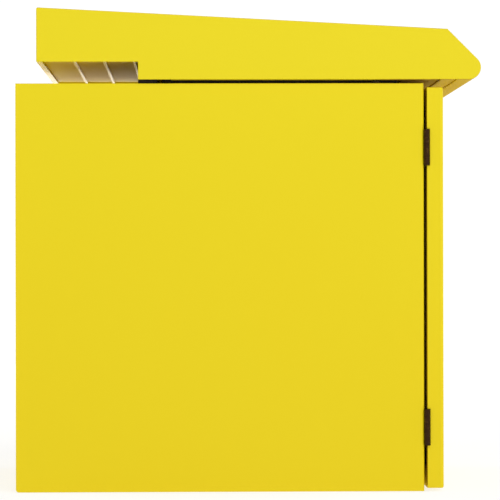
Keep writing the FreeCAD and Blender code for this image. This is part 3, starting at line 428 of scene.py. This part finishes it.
# Sunk screws with a cross recess: the cabinet's face the door, and the door's the cabinet.
SCREW_PITCH = 18.0 * MM
HEAD_RADIUS = 2.7
CROSS_ARM, CROSS_HALF_WIDTH, CROSS_DEPTH = 1.35 * MM, 0.28 * MM, 0.42 * MM
CUTTER_CLEAR = 0.1 * MM
for owner, axis in (("cabinet", "-y"), ("door", "y")):
    low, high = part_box(f"hinge_{owner}_screws")
    length = (high.y - low.y) / MM
    tail, face, inward = (high.y, low.y, 1) if owner == "cabinet" else (low.y, high.y, -1)
    screw_x, screw_z = (low.x + high.x) / 2, low.z + HEAD_RADIUS * MM
    screw = turned(f"hinge_{owner}_screw", (screw_x, tail, screw_z), axis, [
        (0, 1.1), (0.4, 1.5), (length - 0.55, 1.5), (length - 0.55, HEAD_RADIUS),
        (length - 0.12, HEAD_RADIUS), (length, 2.45),
    ], zinc.material, 0.06 * MM, sides=28)
    near, far = sorted((face - inward * CUTTER_CLEAR, face + inward * CROSS_DEPTH))
    hollowed(screw, [
        ((screw_x - across, near, screw_z - up), (screw_x + across, far, screw_z + up))
        for across, up in ((CROSS_ARM, CROSS_HALF_WIDTH), (CROSS_HALF_WIDTH, CROSS_ARM))
    ])
    rise = high.z - low.z - 2 * HEAD_RADIUS * MM
    screws = copied_to(screw, [(0, 0, SCREW_PITCH), (0, 0, rise - SCREW_PITCH), (0, 0, rise)])
    joined(f"hinge_{owner}_screw_set", screws, f"hinge_{owner}_screws", owner)
    fine_edged(f"hinge_{owner}_nuts", f"hinge_{owner}_nut_set", owner,
               zinc.material, 0.25 * MM)


# ---------------------------------------------------------------- lock
# A cam lock: a satin-chromed housing nutted through the door, a plug with the key slot, and
# a steel cam screwed to the plug's square shank.

CHROME_DARK, CHROME_BRIGHT = (0.66, 0.66, 0.67, 1), (0.80, 0.80, 0.81, 1)
chrome = Finish("satin_chrome", Metallic=1.0)
swirl = chrome.noise(1.0, 3.0, chrome.stretched((300.0, 300.0, 5200.0)))
chrome.colour(chrome.mix(swirl, CHROME_DARK, CHROME_BRIGHT))
chrome.roughness(0.16 + swirl * 0.16)
chrome.relief(swirl, 0.006 * MM, 0.5)

low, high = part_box("lock_housing")
lock_x, lock_z = (low.x + high.x) / 2, (low.z + high.z) / 2
length = (high.y - low.y) / MM
housing = turned("lock_housing_body", (lock_x, high.y, lock_z), "-y", [
    (0, 9.1), (0.4, 9.5), (length - 3.0, 9.5), (length - 3.0, 11.0), (length - 0.7, 11.0),
    (length, 10.2), (length, 8.4), (length - 0.35, 8.1), (length - 0.35, 7.4), (length, 7.1),
    (length, 5.8), (length - 0.25, 5.56), (0, 5.56),
], chrome.material, 0.12 * MM, sides=64, bored=True)
settle(housing, "door")
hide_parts("lock_housing")
fine_edged("lock_plug", "lock_plug_body", "lock", chrome.material, 0.2 * MM)
fine_edged("lock_cam", "lock_cam_blade", "lock", zinc.material, 0.3 * MM)
fine_edged("lock_cam_screw", "lock_cam_screw_body", "lock", zinc.material, 0.25 * MM)
fine_edged("lock_washer", "lock_washer_ring", "door", zinc.material, 0.12 * MM)
fine_edged("lock_nut", "lock_nut_hexagon", "door", zinc.material, 0.5 * MM)


# ---------------------------------------------------------------- nameplate
# A brushed aluminium frame held to the door by two rivets, with a clear acrylic pane over a
# blank card. The card lies a hair behind the pane.

BRUSHED_DARK, BRUSHED_BRIGHT = (0.56, 0.57, 0.58, 1), (0.70, 0.70, 0.71, 1)
aluminium = Finish("brushed_aluminium", Metallic=0.9)
brushing = aluminium.noise(1.0, 4.0, aluminium.stretched((60.0, 3000.0, 3800.0)))
aluminium.colour(aluminium.mix(brushing, BRUSHED_DARK, BRUSHED_BRIGHT))
aluminium.roughness(0.30 + brushing * 0.18)
aluminium.relief(brushing, 0.012 * MM, 0.6)
fine_edged("nameplate_frame", "nameplate_frame_ring", "door",
           aluminium.material, 0.35 * MM, 3)

CARD_LIGHT, CARD_DARK = (0.86, 0.84, 0.78, 1), (0.83, 0.81, 0.74, 1)
card = Finish("plain_card", Specular_IOR_Level=0.2)
fibre = card.noise(1.0, 3.0, card.stretched((500.0, 500.0, 800.0)))
card.colour(card.mix(fibre, CARD_LIGHT, CARD_DARK))
card.roughness(0.82 + fibre * 0.1)
card.relief(fibre, 0.004 * MM, 0.3)
PANE_GAP = 0.08 * MM
card_sheet = fine_edged("nameplate_card", "nameplate_card_sheet", "door",
                        card.material, 0.02 * MM, 1)
card_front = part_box("nameplate_card")[0].y + PANE_GAP / 2
bpy.ops.object.mode_set(mode="EDIT")
bpy.ops.mesh.select_mode(type="VERT")
bpy.ops.mesh.select_all(action="DESELECT")
bpy.ops.object.mode_set(mode="OBJECT")
for point in card_sheet.data.vertices:
    point.select = point.co.y < card_front
bpy.ops.object.mode_set(mode="EDIT")
bpy.ops.transform.translate(value=(0, PANE_GAP, 0))
bpy.ops.object.mode_set(mode="OBJECT")

PANE_CLEAR, PANE_SMEARED = (0.97, 0.98, 0.98, 1), (0.93, 0.95, 0.95, 1)
acrylic = Finish("clear_acrylic", IOR=1.49)
smear = acrylic.noise(90.0, 3.0)
acrylic.colour(acrylic.mix(smear, PANE_CLEAR, PANE_SMEARED))
acrylic.roughness(0.03 + smear * 0.06)
acrylic.feed(acrylic.shader.inputs["Alpha"], 0.10 + smear * 0.06)
fine_edged("nameplate_window", "nameplate_window_pane", "door",
           acrylic.material, 0.08 * MM)

PLATE_RIVET_HEAD = 2.4
low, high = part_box("nameplate_rivets")
length = (high.y - low.y) / MM
rivet_foot = (low.x + PLATE_RIVET_HEAD * MM, high.y, (low.z + high.z) / 2)
rivet = turned("nameplate_rivet", rivet_foot, "-y", [
    (0, 1.2), (0.5, 2.1), (0.8, PLATE_RIVET_HEAD), (0.8, 1.2), (length - 0.8, 1.2),
    (length - 0.8, PLATE_RIVET_HEAD), (length - 0.5, 2.25), (length - 0.15, 1.5), (length, 0.6),
], aluminium.material, 0.04 * MM, sides=28)
rivets = copied_to(rivet, [(high.x - low.x - 2 * PLATE_RIVET_HEAD * MM, 0, 0)])
joined("nameplate_rivet_pair", rivets, "nameplate_rivets", "door")


# ---------------------------------------------------------------- lid pivots
# A steel ear is screwed to the top on each side, with a nylon bush pressed
# through it; a stud welded to the cheek turns in the bush and is held by a spring clip. The ears
# and their screws and nuts are painted black as painted shade, for the dark gap under the lid.

NYLON_PALE, NYLON_DEEP = (0.76, 0.74, 0.66, 1), (0.70, 0.67, 0.58, 1)
nylon = Finish("natural_nylon", Subsurface_Weight=0.15, Subsurface_Scale=0.002)
haze = nylon.noise(500.0, 3.0)
nylon.colour(nylon.mix(haze, NYLON_PALE, NYLON_DEEP))
nylon.roughness(0.42 + haze * 0.12)
nylon.relief(haze, 0.015 * MM, 0.4)

PAINTED_SHADE_BLACK, PAINTED_SHADE_BLACK_WORN = (0.010, 0.007, 0.005, 1), (0.030, 0.025, 0.020, 1)
# painted shade: the ears, their screws and nuts are painted black for the dark gap under the lid
black = Finish("black_steel", Specular_IOR_Level=0.3)
wear = black.noise(380.0, 4.0)
black.colour(black.mix(black.step(wear, 0.5, 0.8), PAINTED_SHADE_BLACK, PAINTED_SHADE_BLACK_WORN))
black.roughness(0.50 + wear * 0.2)
black.relief(black.noise(1800.0, 2.0), 0.02 * MM, 0.4)
for node, name, edge in (
    ("lid_ear_left", "lid_ear_left_bracket", 0.3 * MM),
    ("lid_ear_right", "lid_ear_right_bracket", 0.3 * MM),
    ("ear_screws", "ear_screw_set", 0.35 * MM),
    ("ear_nuts", "ear_nut_set", 0.3 * MM),
):
    fine_edged(node, name, "cabinet", black.material, edge)
fine_edged("stud_clips", "stud_clip_pair", "lid", zinc.material, 0.12 * MM)

low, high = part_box("pivot_bushes")
pivot_y, pivot_z = (low.y + high.y) / 2, (low.z + high.z) / 2
BOTH_SIDES = (("-x", -1), ("x", 1))
BUSH_STEPS = [(0, 4.3), (0.3, 4.5), (4.0, 4.5), (4.0, 6.5), (5.2, 6.5), (5.5, 6.2), (5.5, 3.3),
              (5.25, 3.05), (0, 3.05)]
BUSH_LENGTH = 5.5 * MM
bushes = [turned(f"pivot_bush_{axis}", (sign * (high.x - BUSH_LENGTH), pivot_y, pivot_z), axis,
                 BUSH_STEPS, nylon.material, 0.08 * MM, bored=True) for axis, sign in BOTH_SIDES]
joined("pivot_bush_pair", bushes, "pivot_bushes", "cabinet")

low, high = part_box("lid_studs")
STUD_STEPS = [(0, 2.5), (0.5, 3.0), (1.7, 3.0), (1.7, 2.3), (2.5, 2.3), (2.5, 3.0), (10.8, 3.0),
              (10.8, 4.5), (14.8, 4.5)]
STUD_LENGTH = 14.8 * MM
studs = [turned(f"lid_stud_{axis}", (sign * (high.x - STUD_LENGTH), pivot_y, pivot_z), axis,
                STUD_STEPS, zinc.material, 0.08 * MM) for axis, sign in BOTH_SIDES]
joined("lid_stud_pair", studs, "lid_studs", "lid")


# ---------------------------------------------------------------- rubber buttons, pads and discs
# Moulded black rubber: a U-section edging on the rain lip round the mouth, buttons pushed
# through the top under the cheeks, pads glued under the tail and discs behind the door.

RUBBER_BLACK, RUBBER_BLOOM = (0.020, 0.020, 0.021, 1), (0.060, 0.058, 0.054, 1)
rubber = Finish("black_rubber", Specular_IOR_Level=0.3)
bloom = rubber.noise(350.0, 4.0)
rubber.colour(rubber.mix(rubber.step(bloom, 0.45, 0.8), RUBBER_BLACK, RUBBER_BLOOM))
rubber.roughness(0.68 + bloom * 0.2)
rubber.relief(rubber.noise(2400.0, 2.0), 0.04 * MM, 0.5)

fine_edged("mouth_seal", "mouth_seal_edging", "cabinet", rubber.material,
           0.45 * MM, 3, split_first=True)

LIP_HEIGHT = 6.0 * MM
BUMPER_RADIUS = 4.0
BUMPER_ROOT = 4.2
low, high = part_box("lid_bumpers")
top_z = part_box("top_panel")[1].z - LIP_HEIGHT
button = (high.z - top_z) / MM
bumper_foot = (low.x + BUMPER_RADIUS * MM, (low.y + high.y) / 2, low.z)
bumper = turned("lid_bumper", bumper_foot, "z", [
    (0, 1.6), (0.9, 2.7), (3.0, 2.8), (3.0, 2.0), (BUMPER_ROOT, 2.0),
    (BUMPER_ROOT, BUMPER_RADIUS), (BUMPER_ROOT + button * 0.5, 3.9),
    (BUMPER_ROOT + button * 0.85, 3.2), (BUMPER_ROOT + button, 1.8),
], rubber.material, 0.1 * MM, sides=36)
bumpers = copied_to(bumper, [(high.x - low.x - 2 * BUMPER_RADIUS * MM, 0, 0)])
joined("lid_bumper_pair", bumpers, "lid_bumpers", "cabinet")

fine_edged("lid_stop_pads", "lid_stop_pad_pair", "cabinet", rubber.material,
           0.5 * MM, 4)

BUFFER_RADIUS = 5.0
low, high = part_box("door_buffers")
buffer_foot = ((low.x + high.x) / 2, high.y, low.z + BUFFER_RADIUS * MM)
buffer = turned("door_buffer", buffer_foot, "-y", [
    (0, BUFFER_RADIUS), (1.0, 4.9), (1.6, 4.2), (1.9, 2.6),
], rubber.material, 0.1 * MM, sides=36)
buffers = copied_to(buffer, [(0, 0, high.z - low.z - 2 * BUFFER_RADIUS * MM)])
joined("door_buffer_pair", buffers, "door_buffers", "cabinet")


# ---------------------------------------------------------------- chute rivets
# Three domed steel rivets hold the chute under the front edge of the mouth.

CHUTE_RIVET_HEAD = 3.0
low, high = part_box("chute_rivets")
rivet_foot = (low.x + CHUTE_RIVET_HEAD * MM, (low.y + high.y) / 2, low.z)
rivet = turned("chute_rivet", rivet_foot, "z", [
    (0, 1.5), (0.6, 2.7), (1.0, CHUTE_RIVET_HEAD), (1.0, 1.6), (3.4, 1.6),
    (3.4, CHUTE_RIVET_HEAD), (3.8, 2.8), (4.2, 1.9), (4.4, 0.8),
], zinc.material, 0.05 * MM, sides=28)
spread = (high.x - low.x - 2 * CHUTE_RIVET_HEAD * MM) / 2
rivets = copied_to(rivet, [(spread, 0, 0), (2 * spread, 0, 0)])
joined("chute_rivet_row", rivets, "chute_rivets", "cabinet")


# ---------------------------------------------------------------- studio
# A pale floor under a white surround and four soft lamps: one broad and high at the hinge side,
# one in front, one low behind and a warm one beyond. A long lens is square to the hinge side.

FLOOR_SIZE = 30
FLOOR_DROP = 0.0002
FLOOR_PALE, FLOOR_DEEP = (0.30, 0.30, 0.30, 1), (0.28, 0.28, 0.28, 1)
GLOW_NEAR, GLOW_FAR = (0.74, 0.74, 0.74, 1), (0.96, 0.96, 0.96, 1)
GLOW_RISE = (0.5, 4.0)
bpy.ops.object.select_all(action="DESELECT")
bpy.ops.mesh.primitive_plane_add(size=FLOOR_SIZE, location=(0, 0, -FLOOR_DROP))
floor = bpy.context.object
floor.name = "studio_floor"
pale = Finish("pale_floor", Specular_IOR_Level=0.0, Emission_Strength=1.0)
away = pale.node("ShaderNodeVectorMath", {"operation": "LENGTH"}, {0: pale.place}, 1)
glow = pale.mix(pale.step(away, *GLOW_RISE), GLOW_NEAR, GLOW_FAR)
pale.feed(pale.shader.inputs["Emission Color"], glow)
pale.colour(pale.mix(pale.noise(3.0), FLOOR_PALE, FLOOR_DEEP))
pale.roughness(0.9)
floor.data.materials.append(pale.material)

WHITE = (1, 1, 1, 1)
SURROUND_STRENGTH = 0.42
BACKDROP_STRENGTH = 1.05
world = bpy.data.worlds.new("white_surround")
bpy.context.scene.world = world
world.use_nodes = True
sky = world.node_tree.nodes
surround = sky["Background"]
surround.inputs["Color"].default_value = WHITE
surround.inputs["Strength"].default_value = SURROUND_STRENGTH
backdrop = sky.new("ShaderNodeBackground")
backdrop.inputs["Color"].default_value = WHITE
backdrop.inputs["Strength"].default_value = BACKDROP_STRENGTH
seen = sky.new("ShaderNodeLightPath")
either = sky.new("ShaderNodeMixShader")
for source, target in (
    (seen.outputs["Is Camera Ray"], either.inputs["Fac"]),
    (surround.outputs["Background"], either.inputs[1]),
    (backdrop.outputs["Background"], either.inputs[2]),
    (either.outputs["Shader"], sky["World Output"].inputs["Surface"]),
):
    world.node_tree.links.new(source, target)

LAMPS_AIM = Vector((0, 0, 0.2))
LAMPS = (
    ("side_lamp", (-2.2, -0.9, 2.4), 2.4, 47, (1, 1, 1)),
    ("front_lamp", (0.8, -2.6, 1.8), 2.0, 28, (1, 1, 1)),
    ("rear_lamp", (0.9, 2.6, 0.8), 1.6, 30, (1, 0.93, 0.84)),
    ("far_lamp", (2.6, 0.2, 0.7), 2.0, 18, (1, 0.80, 0.50)),
)
for name, place, size, power, tint in LAMPS:
    bpy.ops.object.light_add(type="AREA", location=place)
    lamp = bpy.context.object
    lamp.name = name
    lamp.data.size = size
    lamp.data.energy = power
    lamp.data.color = tint
    lamp.visible_camera = False
    lamp.rotation_euler = (LAMPS_AIM - Vector(place)).to_track_quat("-Z", "Y").to_euler()

SIDE_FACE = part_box("left_side")[0].x
DISTANCE = 2.4
CAMERA_ALONG, CAMERA_UP = 0.0503, 0.1955
CAMERA_TILT = (90.136, 0.112, -91.227)
SENSOR, LENS = 36, 207.7
bpy.ops.object.camera_add(location=(SIDE_FACE - DISTANCE, CAMERA_ALONG, CAMERA_UP))
camera = bpy.context.object
camera.name = "side_camera"
camera.data.sensor_width = SENSOR
camera.data.lens = LENS
camera.data.dof.use_dof = False
camera.rotation_euler = [math.radians(angle) for angle in CAMERA_TILT]
bpy.context.scene.camera = camera
bpy.context.scene.view_settings.view_transform = "Standard"
